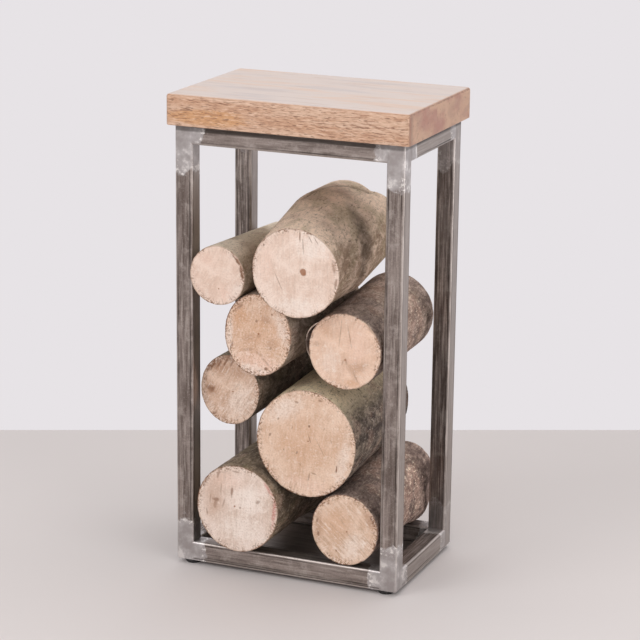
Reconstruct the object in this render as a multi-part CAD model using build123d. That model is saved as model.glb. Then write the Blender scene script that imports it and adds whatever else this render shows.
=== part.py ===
from build123d import *
from collections import namedtuple
from itertools import combinations
import math
import os

# Firewood log rack: a welded square-tube frame with a wooden top, and the logs stacked in it.
# Millimetres. The origin is on the floor under the middle of the rack, with X to the right,
# Y to the back and Z up.

# Steel frame
TUBE = 25.0
TUBE_WALL = 2.0
TUBE_CORNER = 3.0
COPE_REACH = 0.7
FRAME_WIDTH = 322.0
FRAME_DEPTH = 211.0
FRAME_HEIGHT = 600.5
WELD_LEG = 4.0
WELD_CROWN = 0.62

# Base sheet and feet
SHEET_THICKNESS = 2.0
SHEET_INSET = 1.0
FOOT_DIAMETER = 23.0
FOOT_FLARE = 1.5
FOOT_HEIGHT = 6.0
FOOT_INSET_SIDE = 19.0
FOOT_INSET_FRONT = 14.0
FOOT_SCREW = 4.0
FOOT_SCREW_HEAD = 8.0
FOOT_SCREW_HEAD_HEIGHT = 2.2
FOOT_SCREW_REACH = 8.0
FOOT_RECESS = 3.0

# Wooden top, glued up from three boards
TOP_THICKNESS = 41.5
TOP_OVERHANG_SIDE = 9.0
TOP_OVERHANG_FRONT = 8.5
TOP_EDGE_RADIUS = 4.5
TOP_UNDER_RADIUS = 1.5
FRONT_BOARD = 98.0
BACK_BOARD = 42.0

# Tabs and wood screws that hold the top down
TAB_LENGTH = 32.0
TAB_REACH = 24.0
TAB_THICKNESS = 3.0
TAB_SPACING = 150.0
WOOD_SCREW = 4.5
WOOD_SCREW_HEAD = 8.5
WOOD_SCREW_HEAD_HEIGHT = 2.5
WOOD_SCREW_BITE = 22.0
SCREW_CLEARANCE = 0.15

# Logs. The radius is the rear end's, and the half width and height are the sawn front face's.
# The aim is the side of the bay that a log settles to, from -1 at the left to 1 at the right,
# and the room is how far it keeps off the upright there. The shift is where the front face's
# centre lies from the rear end's, and proud is how far that face stands before the frame.
# The turn is the angle, in degrees, of the first of three sides that bulge a little, and square
# is the power of the rear end's outline on its right side: 2 is round, and more is squarer.
LOG_GAP = 0.4
LOG_WAVE = 0.01
LOG_OUTLINE_POINTS = 12
LOG_SIZES = "radius aim room half_width half_height shift_x shift_z proud length turn square"
ROUND = 2.0
Log = namedtuple("Log", "name " + LOG_SIZES, defaults=[ROUND])
BOTTOM_LEFT = Log(
    "log_bottom_left", radius=61.0, aim=-1.0, room=9.5, half_width=60.0, half_height=61.5,
    shift_x=0.0, shift_z=0.8, proud=12.0, length=235.0, turn=140.0,
)
BOTTOM_RIGHT = Log(
    "log_bottom_right", radius=53.0, aim=1.0, room=11.5, half_width=48.0, half_height=50.0,
    shift_x=15.0, shift_z=-2.8, proud=0.0, length=232.0, turn=121.0, square=3.2,
)
MIDDLE_CENTRE = Log(
    "log_middle_centre", radius=71.0, aim=0.0, room=0.0, half_width=72.0, half_height=74.5,
    shift_x=12.5, shift_z=-2.0, proud=0.0, length=230.0, turn=163.0,
)
MIDDLE_LEFT = Log(
    "log_middle_left", radius=46.5, aim=-1.0, room=0.0, half_width=43.5, half_height=49.0,
    shift_x=-1.5, shift_z=0.0, proud=-20.0, length=215.0, turn=107.0,
)
UPPER_RIGHT = Log(
    "log_upper_right", radius=56.0, aim=1.0, room=11.5, half_width=51.5, half_height=52.0,
    shift_x=14.5, shift_z=0.0, proud=0.0, length=222.0, turn=128.0,
)
UPPER_LEFT = Log(
    "log_upper_left", radius=53.0, aim=-0.3, room=0.0, half_width=48.5, half_height=56.5,
    shift_x=2.0, shift_z=1.0, proud=5.0, length=235.0, turn=121.0,
)
TOP_LEFT = Log(
    "log_top_left", radius=36.0, aim=-1.0, room=0.0, half_width=40.2, half_height=40.7,
    shift_x=4.5, shift_z=9.5, proud=10.0, length=225.0, turn=82.0,
)
TOP_CENTRE = Log(
    "log_top_centre", radius=57.0, aim=0.1, room=0.0, half_width=62.0, half_height=60.0,
    shift_x=7.0, shift_z=3.8, proud=29.5, length=270.0, turn=131.0,
)

# Sawn branch stub on the middle log, which the upper right log stands on
STUB_RADIUS = 12.0
STUB_HEIGHT = 13.5
STUB_LEAN = 23.5
STUB_FROM_REAR = 32.0

# Fork in the top log: its stem swells, then swings up to the left, and a branch parts from it at
# the right. The sides and rises are measured from the place where the log rests.
SWELL_FROM_FRONT = 165.0
SWELL_RADIUS = 61.5
SWELL_SIDE = -19.0
SWELL_RISE = 17.5
STEM_RADIUS = 56.5
STEM_SIDE = -32.0
STEM_RISE = 15.5
BRANCH_FROM_FRONT = 12.0
BRANCH_ROOT_RADIUS = 57.0
CROTCH_FROM_FRONT = 115.0
CROTCH_RADIUS = 58.5
CROTCH_SIDE = 8.0
CROTCH_RISE = 5.0
BRANCH_RADIUS = 48.0
BRANCH_SIDE = 2.0
BRANCH_RISE = 12.0

# Places that follow from the sizes above
frame_bottom = FOOT_HEIGHT + SHEET_THICKNESS
frame_top = frame_bottom + FRAME_HEIGHT
upright_x = (FRAME_WIDTH - TUBE) / 2
upright_y = (FRAME_DEPTH - TUBE) / 2
foot_x = FRAME_WIDTH / 2 - FOOT_INSET_SIDE
foot_y = FRAME_DEPTH / 2 - FOOT_INSET_FRONT
bay_half_width = FRAME_WIDTH / 2 - TUBE
bay_half_depth = FRAME_DEPTH / 2 - TUBE
bottom_rail_z = frame_bottom + TUBE / 2
top_rail_z = frame_top - TUBE / 2
log_floor = frame_bottom + TUBE
SIDES = {"left": -1, "right": 1}
ENDS = {"front": -1, "back": 1}
CORNERS = [(end, side) for end in ENDS for side in SIDES]

parts = {}


def tube_profile():
    """Section of the square tube."""
    bore = TUBE - 2 * TUBE_WALL
    bore_corner = max(TUBE_CORNER - TUBE_WALL, TUBE_WALL / 4)
    return RectangleRounded(TUBE, TUBE, TUBE_CORNER) - RectangleRounded(bore, bore, bore_corner)


def cylinder(radius, bottom, height, x=0.0, y=0.0):
    """Upright cylinder that stands on a height of its own."""
    return Pos(x, y, bottom + height / 2) * Cylinder(radius, height)


# Uprights
def upright(end, side):
    place = Pos(SIDES[side] * upright_x, ENDS[end] * upright_y, frame_bottom)
    return place * extrude(tube_profile(), amount=FRAME_HEIGHT)


for end, side in CORNERS:
    parts[f"upright_{end}_{side}"] = upright(end, side)


# Rails, coped at the ends to the uprights' rounded outer corners so that the ground joints are flush
def long_rail(end, z):
    """Rail along the front or the back."""
    reach = bay_half_width + COPE_REACH * TUBE_CORNER
    rail = extrude(Plane.YZ * tube_profile(), amount=reach, both=True)
    rail = Pos(0, ENDS[end] * upright_y, z) * rail
    outline = RectangleRounded(TUBE, TUBE, TUBE_CORNER)
    outline += Pos(0, -ENDS[end] * TUBE / 2) * Rectangle(TUBE, TUBE)
    for side in SIDES.values():
        cope = extrude(outline, amount=TUBE, both=True)
        rail -= Pos(side * upright_x, ENDS[end] * upright_y, z) * cope
    return rail


def short_rail(side, z):
    """Rail along the left or the right side."""
    reach = bay_half_depth + COPE_REACH * TUBE_CORNER
    rail = extrude(Plane.XZ * tube_profile(), amount=reach, both=True)
    rail = Pos(SIDES[side] * upright_x, 0, z) * rail
    outline = RectangleRounded(TUBE, TUBE, TUBE_CORNER)
    outline += Pos(-SIDES[side] * TUBE / 2, 0) * Rectangle(TUBE, TUBE)
    for end in ENDS.values():
        cope = extrude(outline, amount=TUBE, both=True)
        rail -= Pos(SIDES[side] * upright_x, end * upright_y, z) * cope
    return rail


for level, rail_z in {"bottom": bottom_rail_z, "top": top_rail_z}.items():
    for end in ENDS:
        parts[f"{level}_rail_{end}"] = long_rail(end, rail_z)
    for side in SIDES:
        parts[f"{level}_rail_{side}"] = short_rail(side, rail_z)


# Weld beads inside the corners
def weld_bead(x_sign, y_sign, z):
    """Bead up the inner edge of an upright, where the faces of two rails meet."""
    corner = (x_sign * bay_half_width, y_sign * bay_half_depth)
    x_leg = -x_sign * WELD_LEG
    y_leg = -y_sign * WELD_LEG
    edges = [
        Line((0, 0), (x_leg, 0)),
        ThreePointArc((x_leg, 0), (WELD_CROWN * x_leg, WELD_CROWN * y_leg), (0, y_leg)),
        Line((0, y_leg), (0, 0)),
    ]
    reach = TUBE / 2 - TUBE_CORNER
    return Pos(*corner, z) * extrude(make_face(edges), amount=reach, both=True)


def frame_welds(z):
    """Beads at the four corners of one level of rails."""
    return Compound(children=[weld_bead(SIDES[side], ENDS[end], z) for end, side in CORNERS])


parts["bottom_frame_welds"] = frame_welds(bottom_rail_z)
parts["top_frame_welds"] = frame_welds(top_rail_z)


# Base sheet under the frame, with a hole for the screw of each foot
def base_sheet():
    width = FRAME_WIDTH - 2 * SHEET_INSET
    depth = FRAME_DEPTH - 2 * SHEET_INSET
    outline = RectangleRounded(width, depth, TUBE_CORNER)
    for end, side in CORNERS:
        hole = Circle(FOOT_SCREW / 2 + SCREW_CLEARANCE)
        outline -= Pos(SIDES[side] * foot_x, ENDS[end] * foot_y) * hole
    return Pos(0, 0, FOOT_HEIGHT) * extrude(outline, amount=SHEET_THICKNESS)


parts["base_sheet"] = base_sheet()


# Rubber feet, dished underneath for the screw's head
def foot(x, y):
    top_radius = FOOT_DIAMETER / 2
    bore = FOOT_SCREW / 2 + SCREW_CLEARANCE
    recess = FOOT_SCREW_HEAD / 2 + FOOT_FLARE / 2
    section = Polyline(
        (bore, FOOT_RECESS),
        (recess, FOOT_RECESS),
        (recess, 0),
        (top_radius - FOOT_FLARE, 0),
        (top_radius, FOOT_HEIGHT / 2),
        (top_radius, FOOT_HEIGHT),
        (bore, FOOT_HEIGHT),
        close=True,
    )
    return Pos(x, y, 0) * revolve(Plane.XZ * make_face(section), axis=Axis.Z)


def foot_screw(x, y):
    head_bottom = FOOT_RECESS - FOOT_SCREW_HEAD_HEIGHT
    head = cylinder(FOOT_SCREW_HEAD / 2, head_bottom, FOOT_SCREW_HEAD_HEIGHT, x, y)
    shank_top = frame_bottom + FOOT_SCREW_REACH
    return head + cylinder(FOOT_SCREW / 2, head_bottom, shank_top - head_bottom, x, y)


foot_screws = []
for end, side in CORNERS:
    place = (SIDES[side] * foot_x, ENDS[end] * foot_y)
    parts[f"foot_{end}_{side}"] = foot(*place)
    foot_screws.append(foot_screw(*place))
parts["foot_screws"] = Compound(children=foot_screws)


# Tabs inside the long top rails, level with their tops, and the screws up into the wood
def tab_places():
    for end in ENDS:
        for side in SIDES:
            yield end, SIDES[side] * TAB_SPACING / 2, ENDS[end] * (bay_half_depth - TAB_REACH / 2)


def fixing_tab(end, x, y):
    blank = Pos(x, y) * Rectangle(TAB_LENGTH, TAB_REACH)
    inner_corners = blank.vertices().sort_by(Axis.Y)
    free = inner_corners[2:] if end == "front" else inner_corners[:2]
    blank = fillet(free, TAB_REACH / 4)
    blank -= Pos(x, y) * Circle(WOOD_SCREW / 2 + SCREW_CLEARANCE)
    return Pos(0, 0, frame_top - TAB_THICKNESS) * extrude(blank, amount=TAB_THICKNESS)


def wood_screw(x, y):
    head_bottom = frame_top - TAB_THICKNESS - WOOD_SCREW_HEAD_HEIGHT
    head = cylinder(WOOD_SCREW_HEAD / 2, head_bottom, WOOD_SCREW_HEAD_HEIGHT, x, y)
    shank_height = WOOD_SCREW_HEAD_HEIGHT + TAB_THICKNESS + WOOD_SCREW_BITE
    return head + cylinder(WOOD_SCREW / 2, head_bottom, shank_height, x, y)


parts["top_fixing_tabs"] = Compound(children=[fixing_tab(end, x, y) for end, x, y in tab_places()])
parts["top_fixing_screws"] = Compound(children=[wood_screw(x, y) for end, x, y in tab_places()])


# Wooden top, rounded over and then parted into its boards
def wooden_top():
    width = FRAME_WIDTH + 2 * TOP_OVERHANG_SIDE
    depth = FRAME_DEPTH + 2 * TOP_OVERHANG_FRONT
    slab = Pos(0, 0, frame_top + TOP_THICKNESS / 2) * Box(width, depth, TOP_THICKNESS)
    under_edges = slab.edges().group_by(Axis.Z)[0]
    slab = fillet(slab.edges() - under_edges, TOP_EDGE_RADIUS)
    slab = fillet(slab.edges().group_by(Axis.Z)[0], TOP_UNDER_RADIUS)
    for end, x, y in tab_places():
        pilot = WOOD_SCREW_BITE + SCREW_CLEARANCE
        slab -= cylinder(WOOD_SCREW / 2 + SCREW_CLEARANCE, frame_top, pilot, x, y)
    return slab


def board(slab, front_y, back_y):
    cut = Box(2 * FRAME_WIDTH, back_y - front_y, 2 * TOP_THICKNESS)
    return slab & Pos(0, (front_y + back_y) / 2, frame_top + TOP_THICKNESS / 2) * cut


slab = wooden_top()
top_front = -FRAME_DEPTH / 2 - TOP_OVERHANG_FRONT
front_seam = top_front + FRONT_BOARD
back_seam = -top_front - BACK_BOARD
parts["top_board_front"] = board(slab, top_front, front_seam)
parts["top_board_middle"] = board(slab, front_seam, back_seam)
parts["top_board_back"] = board(slab, back_seam, -top_front)


# The stack, settled as discs at the rear ends of the logs
Disc = namedtuple("Disc", "x z radius")


def resting_places(radius, room, placed):
    """Centres at which a disc rests on two others, or on one other and an upright."""
    for first, second in combinations(placed, 2):
        run_x = second.x - first.x
        run_z = second.z - first.z
        span = math.hypot(run_x, run_z)
        first_reach = first.radius + radius + LOG_GAP
        second_reach = second.radius + radius + LOG_GAP
        if abs(first_reach - second_reach) < span < first_reach + second_reach:
            along = (first_reach**2 - second_reach**2 + span**2) / (2 * span)
            across = math.sqrt(first_reach**2 - along**2)
            for turn in (-across, across):
                x = first.x + (run_x * along - run_z * turn) / span
                z = first.z + (run_z * along + run_x * turn) / span
                yield Disc(x, z, radius)
    for side in SIDES.values():
        x = side * (bay_half_width - room - radius - LOG_GAP)
        for other in placed:
            reach = other.radius + radius + LOG_GAP
            if abs(x - other.x) < reach:
                yield Disc(x, other.z + math.sqrt(reach**2 - (x - other.x)**2), radius)


def is_clear(disc, placed):
    """True where a disc lies inside the bay and off every log that is already there."""
    slack = LOG_GAP / 2
    if abs(disc.x) > bay_half_width - disc.radius - slack:
        return False
    if disc.z < log_floor + disc.radius + slack:
        return False
    return all(
        math.hypot(disc.x - other.x, disc.z - other.z) > disc.radius + other.radius + slack
        for other in placed
    )


def settle(log, placed):
    """Resting place of a log that is nearest to the side it settles to."""
    places = [disc for disc in resting_places(log.radius, log.room, placed) if is_clear(disc, placed)]
    return min(places, key=lambda disc: (round(abs(disc.x - log.aim * bay_half_width), 3), disc.z))


def on_the_rails(log):
    """Place of a log that lies on the bottom rails, near the upright on its side."""
    x = log.aim * (bay_half_width - log.room - log.radius - LOG_GAP)
    return Disc(x, log_floor + log.radius + LOG_GAP, log.radius)


def stub_tip(disc):
    """Rounded tip of the branch stub, as a disc that another log can rest on."""
    lean = math.radians(STUB_LEAN)
    reach = disc.radius + STUB_HEIGHT - STUB_RADIUS
    return Disc(disc.x + reach * math.sin(lean), disc.z + reach * math.cos(lean), STUB_RADIUS)


bottom_left = on_the_rails(BOTTOM_LEFT)
bottom_right = on_the_rails(BOTTOM_RIGHT)
middle_centre = settle(MIDDLE_CENTRE, [bottom_left, bottom_right])
stub = stub_tip(middle_centre)
stack = [bottom_left, bottom_right, middle_centre, stub]
middle_left = settle(MIDDLE_LEFT, stack)
stack.append(middle_left)
upper_right = settle(UPPER_RIGHT, stack)
stack.append(upper_right)
upper_left = settle(UPPER_LEFT, stack)
stack.append(upper_left)
top_left = settle(TOP_LEFT, stack)
stack.append(top_left)
top_centre = settle(TOP_CENTRE, stack)


def log_outline(log, place, half_width, half_height, square=ROUND):
    """Closed outline across a log: an ellipse drawn in between three sides, squarer on its right side."""
    points = []
    for step in range(LOG_OUTLINE_POINTS):
        angle = 2 * math.pi * step / LOG_OUTLINE_POINTS
        draw_in = 1 - LOG_WAVE * (1 - math.cos(3 * (angle - math.radians(log.turn)))) / 2
        across = math.cos(angle)
        rise = math.sin(angle)
        power = 2 / (square if across > 0 else ROUND)
        x = half_width * draw_in * math.copysign(abs(across) ** power, across)
        z = half_height * draw_in * math.copysign(abs(rise) ** power, rise)
        points.append((x, z))
    plane = Plane(origin=place, x_dir=(1, 0, 0), z_dir=(0, -1, 0))
    return plane * make_face(Spline(*points, periodic=True))


def log_ends(log):
    """Where a log's front face and rear end lie along the depth of the rack."""
    front_y = -FRAME_DEPTH / 2 - log.proud
    return front_y, front_y + log.length


def front_outline(log, disc):
    """Outline of a log's sawn front face."""
    place = (disc.x + log.shift_x, log_ends(log)[0], disc.z + log.shift_z)
    return log_outline(log, place, log.half_width, log.half_height)


def rear_outline(log, disc):
    """Outline of a log's rear end."""
    place = (disc.x, log_ends(log)[1], disc.z)
    return log_outline(log, place, disc.radius, disc.radius, log.square)


def log_solid(log, disc):
    """Log between its sawn front face and its rear end."""
    return loft([front_outline(log, disc), rear_outline(log, disc)])


def branch_stub(log, disc):
    """Sawn branch stub, from the heart of the log out to its tip."""
    back_share = STUB_FROM_REAR / log.length
    root_x = disc.x + log.shift_x * back_share
    root_z = disc.z + log.shift_z * back_share
    lean = math.radians(STUB_LEAN)
    out = Vector(math.sin(lean), 0, math.cos(lean))
    plane = Plane(origin=(root_x, log_ends(log)[1] - STUB_FROM_REAR, root_z), x_dir=(0, 1, 0), z_dir=out)
    stem = extrude(plane * Circle(STUB_RADIUS), amount=disc.radius + STUB_HEIGHT)
    rim = stem.edges().filter_by(GeomType.CIRCLE).sort_by(Axis.Z)[-1]
    return fillet(rim, STUB_RADIUS / 4)


def fork_outline(log, disc, from_front, side, rise, radius):
    """Outline across the forked log, at a distance behind its front face."""
    place = (disc.x + side, log_ends(log)[0] + from_front, disc.z + rise)
    return log_outline(log, place, radius, radius)


def forked_log(log, disc):
    """Log that parts behind its front face into a swollen stem and a branch."""
    swell = fork_outline(log, disc, SWELL_FROM_FRONT, SWELL_SIDE, SWELL_RISE, SWELL_RADIUS)
    stem_end = fork_outline(log, disc, log.length, STEM_SIDE, STEM_RISE, STEM_RADIUS)
    root = fork_outline(log, disc, BRANCH_FROM_FRONT, log.shift_x, log.shift_z, BRANCH_ROOT_RADIUS)
    crotch = fork_outline(log, disc, CROTCH_FROM_FRONT, CROTCH_SIDE, CROTCH_RISE, CROTCH_RADIUS)
    branch_end = fork_outline(log, disc, log.length, BRANCH_SIDE, BRANCH_RISE, BRANCH_RADIUS)
    stem = loft([front_outline(log, disc), swell, stem_end], ruled=True)
    return stem + loft([root, crotch, branch_end], ruled=True)


parts[BOTTOM_LEFT.name] = log_solid(BOTTOM_LEFT, bottom_left)
parts[BOTTOM_RIGHT.name] = log_solid(BOTTOM_RIGHT, bottom_right)
parts[MIDDLE_CENTRE.name] = log_solid(MIDDLE_CENTRE, middle_centre)
parts[MIDDLE_CENTRE.name] += branch_stub(MIDDLE_CENTRE, middle_centre)
parts[MIDDLE_LEFT.name] = log_solid(MIDDLE_LEFT, middle_left)
parts[UPPER_RIGHT.name] = log_solid(UPPER_RIGHT, upper_right)
parts[UPPER_LEFT.name] = log_solid(UPPER_LEFT, upper_left)
parts[TOP_LEFT.name] = log_solid(TOP_LEFT, top_left)
parts[TOP_CENTRE.name] = forked_log(TOP_CENTRE, top_centre)

os.makedirs("parts", exist_ok=True)
for name, solid in parts.items():
    export_step(solid, f"parts/{name}.step")
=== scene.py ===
import math
from collections import namedtuple

import bmesh
import bpy
from mathutils import Matrix, Vector, noise
from mathutils.bvhtree import BVHTree


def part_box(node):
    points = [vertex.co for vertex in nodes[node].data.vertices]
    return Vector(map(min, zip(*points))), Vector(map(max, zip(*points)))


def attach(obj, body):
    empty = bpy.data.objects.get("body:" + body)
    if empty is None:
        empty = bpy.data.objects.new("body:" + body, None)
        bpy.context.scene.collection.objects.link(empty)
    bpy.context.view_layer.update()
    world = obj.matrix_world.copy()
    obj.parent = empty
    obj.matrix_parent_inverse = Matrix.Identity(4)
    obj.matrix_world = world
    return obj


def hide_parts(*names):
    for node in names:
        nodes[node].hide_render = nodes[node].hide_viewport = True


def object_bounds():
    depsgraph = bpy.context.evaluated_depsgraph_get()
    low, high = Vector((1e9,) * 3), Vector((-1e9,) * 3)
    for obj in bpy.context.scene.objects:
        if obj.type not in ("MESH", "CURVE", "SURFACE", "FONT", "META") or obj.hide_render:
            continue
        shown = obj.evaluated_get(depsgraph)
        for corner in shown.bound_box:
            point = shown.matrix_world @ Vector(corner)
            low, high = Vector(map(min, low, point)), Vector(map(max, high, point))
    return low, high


# Firewood log rack: lacquered steel frame, oiled wooden top, rubber feet and a stack of sawn logs.
# Metres, in the part's own frame. A size in millimetres is multiplied by MM.

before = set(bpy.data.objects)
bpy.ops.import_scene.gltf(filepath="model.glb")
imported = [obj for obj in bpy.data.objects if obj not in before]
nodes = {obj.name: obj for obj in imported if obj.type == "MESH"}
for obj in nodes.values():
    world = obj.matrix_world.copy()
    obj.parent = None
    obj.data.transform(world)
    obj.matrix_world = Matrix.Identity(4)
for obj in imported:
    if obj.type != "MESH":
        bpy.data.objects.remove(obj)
cad_low, cad_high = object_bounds()
MM = 0.001

# Camera, at the photograph's place
LENS = 136.69
SENSOR = 36.0
AZIMUTH = 22.022
ELEVATION = 16.062
ROLL = 0.838
CAMERA_PLACE = Vector((1.22418, -2.91882, 1.20084))
SHIFT_X = -0.0424
SHIFT_Y = 0.0529
PICTURE = 640
FLOOR_EDGE_ROW = 430


def camera_axes():
    """Right, up and backward directions of the camera."""
    azimuth = math.radians(AZIMUTH)
    elevation = math.radians(ELEVATION)
    roll = math.radians(ROLL)
    flat = math.cos(elevation)
    back = Vector((math.sin(azimuth) * flat, -math.cos(azimuth) * flat, math.sin(elevation)))
    level_right = Vector((math.cos(azimuth), math.sin(azimuth), 0))
    level_up = back.cross(level_right)
    right = level_right * math.cos(roll) + level_up * math.sin(roll)
    up = level_up * math.cos(roll) - level_right * math.sin(roll)
    return right, up, back


def add_camera():
    """Camera at its place, looking along its own axes."""
    right, up, back = camera_axes()
    data = bpy.data.cameras.new("camera")
    data.lens = LENS
    data.sensor_width = SENSOR
    data.shift_x = SHIFT_X
    data.shift_y = SHIFT_Y
    camera = bpy.data.objects.new("camera", data)
    camera.matrix_world = Matrix.Translation(CAMERA_PLACE) @ Matrix((right, up, back)).transposed().to_4x4()
    bpy.context.scene.collection.objects.link(camera)
    bpy.context.scene.camera = camera


def floor_point(column, row):
    """Point of the floor that shows at a pixel of the picture."""
    right, up, back = camera_axes()
    across = (column / PICTURE - 0.5 + SHIFT_X) * SENSOR / LENS
    upward = (0.5 - row / PICTURE + SHIFT_Y) * SENSOR / LENS
    ray = right * across + up * upward - back
    return CAMERA_PLACE - ray * (CAMERA_PLACE.z / ray.z)


# Finishes
def tone(red, green, blue):
    """Linear values, for a shader, of a colour that a screen shows as 0 to 255."""
    shares = [value / 255 for value in (red, green, blue)]
    return (*[((share + 0.055) / 1.055) ** 2.4 for share in shares], 1.0)


class Shading:
    """Nodes of one tree, made from sockets and plain values."""

    def __init__(self, tree):
        self.tree = tree

    def feed(self, socket, value):
        """Joins a socket to an input, or sets the input to a plain value."""
        if isinstance(value, bpy.types.NodeSocket):
            self.tree.links.new(value, socket)
        else:
            socket.default_value = value

    def node(self, kind, inputs, output=0, **settings):
        """One output of a new node."""
        made = self.tree.nodes.new(kind)
        for name, value in settings.items():
            setattr(made, name, value)
        for key, value in inputs.items():
            self.feed(made.inputs[key], value)
        return made.outputs[output]

    def place(self):
        """Where a point lies on the piece, in metres."""
        return self.node("ShaderNodeTexCoord", {}, "Object")

    def facing(self):
        """Which way the surface faces."""
        return self.node("ShaderNodeNewGeometry", {}, "Normal")

    def attribute(self, name, output):
        """What a piece's own attribute says at a point."""
        return self.node("ShaderNodeAttribute", {}, output, attribute_name=name)

    def parts(self, vector):
        made = self.tree.nodes.new("ShaderNodeSeparateXYZ")
        self.feed(made.inputs[0], vector)
        return made.outputs

    def stretched(self, vector, scale):
        """Vector times a scale of its own for X, Y and Z."""
        return self.node("ShaderNodeMapping", {"Vector": vector, "Scale": scale})

    def centred(self, vector, centre, turn=0.0, size=(1, 1, 1)):
        """Vector from a centre, turned back about Y and divided by size."""
        inputs = {"Vector": vector, "Location": centre, "Rotation": (0, turn, 0), "Scale": size}
        return self.node("ShaderNodeMapping", inputs, vector_type="TEXTURE")

    def speckle(self, vector, scale, detail=3.0, roughness=0.55, bend=0.0):
        """Cloudy noise about 0.5, with a scale in waves per metre."""
        inputs = {"Vector": vector, "Scale": scale, "Detail": detail, "Roughness": roughness}
        inputs["Distortion"] = bend
        return self.node("ShaderNodeTexNoise", inputs, "Fac")

    def strands(self, vector, waves, *settings):
        """Cloudy noise with its own waves per metre along X, Y and Z."""
        return self.speckle(self.stretched(vector, waves), 1.0, *settings)

    def vector(self, operation, first, second=(0, 0, 0)):
        return self.node("ShaderNodeVectorMath", {0: first, 1: second}, operation=operation)

    def maths(self, operation, first, second=0.0):
        return self.node("ShaderNodeMath", {0: first, 1: second}, operation=operation)

    def plus(self, first, second):
        return self.maths("ADD", first, second)

    def less(self, first, second):
        return self.maths("SUBTRACT", first, second)

    def times(self, first, second):
        return self.maths("MULTIPLY", first, second)

    def unsigned(self, value):
        return self.maths("ABSOLUTE", value)

    def length(self, vector):
        return self.node("ShaderNodeVectorMath", {0: vector}, "Value", operation="LENGTH")

    def step(self, value, low, high, start=0.0, end=1.0):
        """Smooth change from start to end as the value goes from low to high."""
        inputs = {"Value": value, "From Min": low, "From Max": high, "To Min": start, "To Max": end}
        return self.node("ShaderNodeMapRange", inputs, interpolation_type="SMOOTHSTEP")

    def mix(self, share, first, second, blend="MIX"):
        inputs = {0: share, 6: first, 7: second}
        return self.node("ShaderNodeMix", inputs, 2, data_type="RGBA", blend_type=blend)

    def tint(self, colour, cover, value, low, high, share=1.0):
        """Colour under a cover that comes in, up to a share, as the value goes from low to high."""
        return self.mix(self.step(value, low, high, 0.0, share), colour, cover)


class Finish(Shading):
    """One material, built up node by node."""

    def __init__(self, name):
        self.material = bpy.data.materials.new(name)
        self.material.use_nodes = True
        super().__init__(self.material.node_tree)
        self.shader = self.tree.nodes["Principled BSDF"]

    def coat(self, weight, roughness):
        """Thin clear coat over the finish."""
        self.shader.inputs["Coat Weight"].default_value = weight
        self.shader.inputs["Coat Roughness"].default_value = roughness

    def done(self, colour, roughness, relief=None, depth=0.5, metallic=0.0, specular=0.5):
        """Joins colour, roughness and a relief of a depth in millimetres to the shader."""
        self.feed(self.shader.inputs["Base Color"], colour)
        self.feed(self.shader.inputs["Roughness"], roughness)
        self.shader.inputs["Metallic"].default_value = metallic
        self.shader.inputs["Specular IOR Level"].default_value = specular
        if relief is not None:
            inputs = {"Strength": 1.0, "Distance": depth * MM, "Height": relief}
            self.feed(self.shader.inputs["Normal"], self.node("ShaderNodeBump", inputs, "Normal"))
        return self.material


def dress(material, *names):
    """Gives nodes of the frame a material."""
    for name in names:
        slots = nodes[name].data.materials
        slots.clear()
        slots.append(material)


# Steel of the frame
TUBE = 25 * MM
STEEL_SHADE = tone(54, 48, 44)
STEEL_DARK = tone(104, 92, 86)
STEEL_MID = tone(150, 138, 132)
STEEL_PALE = tone(188, 178, 171)
STEEL_SIDE_SHEEN = tone(166, 156, 150)
STEEL_WEAR_HIGHLIGHT = tone(214, 206, 200)
STEEL_METALLIC = 0.85
STREAK_ACROSS = 420.0
STREAK_ALONG = 16.0
BLOTCH_ACROSS = 110.0
BLOTCH_ALONG = 11.0
GROUND_DARK = tone(161, 154, 152)
GROUND_PALE = tone(186, 181, 180)
GROUND_BRIGHT = tone(236, 232, 228)
GROUND_REACH = Vector((36, 38, 64)) * MM
GROUND_RAGGED = 0.9
GROUND_EDGE = 1.28
GROUND_END = 1.36
BURR_MIDDLE = 1.25
BURR_HALF = 0.2
upright_low, upright_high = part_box("upright_back_right")
JOINT_X = (upright_low.x + upright_high.x) / 2
JOINT_Y = (upright_low.y + upright_high.y) / 2
BOTTOM_JOINT_Z = upright_low.z + TUBE / 2
TOP_JOINT_Z = upright_high.z - TUBE / 2
# Painted shadow of the top on the tubes below it: where it starts, and where it is full
UNDER_TOP_SHADOW_START = upright_high.z - 9 * MM
UNDER_TOP_SHADOW_FULL = upright_high.z - 6 * MM

# Painted shade: a dark line on each side of a tube, beside its rounded corners
SHADE_LINE_PLACE = 8.7 * MM
SHADE_LINE_CORE = 0.4 * MM
SHADE_LINE_HALF = 1.2 * MM

# Other metal and rubber
WELD_GREY = tone(96, 92, 94)
WELD_STRAW = tone(150, 141, 130)
WELD_PIT = tone(60, 56, 54)
ZINC_GREY = tone(176, 174, 168)
ZINC_STRAW = tone(206, 200, 180)
RUBBER_BLACK = tone(24, 22, 22)
RUBBER_DUST = tone(58, 54, 52)


def tube_offsets(paint, place):
    """How far a point lies from the tubes' middle lines: across, in depth and in height."""
    x, y, z = paint.parts(place)
    across = paint.less(paint.unsigned(x), JOINT_X)
    depth = paint.less(paint.unsigned(y), JOINT_Y)
    above = paint.unsigned(paint.less(z, BOTTOM_JOINT_Z))
    below = paint.unsigned(paint.less(z, TOP_JOINT_Z))
    return across, depth, paint.maths("MINIMUM", above, below)


def ground_edge(paint, place, offsets):
    """How far a point lies from a welded corner, ragged: GROUND_EDGE where the ground patch ends."""
    shares = [paint.maths("DIVIDE", *pair) for pair in zip(offsets, GROUND_REACH)]
    squares = [paint.maths("POWER", paint.unsigned(share), 2.0) for share in shares]
    reach = paint.maths("SQRT", paint.plus(paint.plus(squares[0], squares[1]), squares[2]))
    ragged = paint.times(paint.speckle(place, 42, 5, 0.65), GROUND_RAGGED)
    return paint.plus(reach, ragged)


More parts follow.
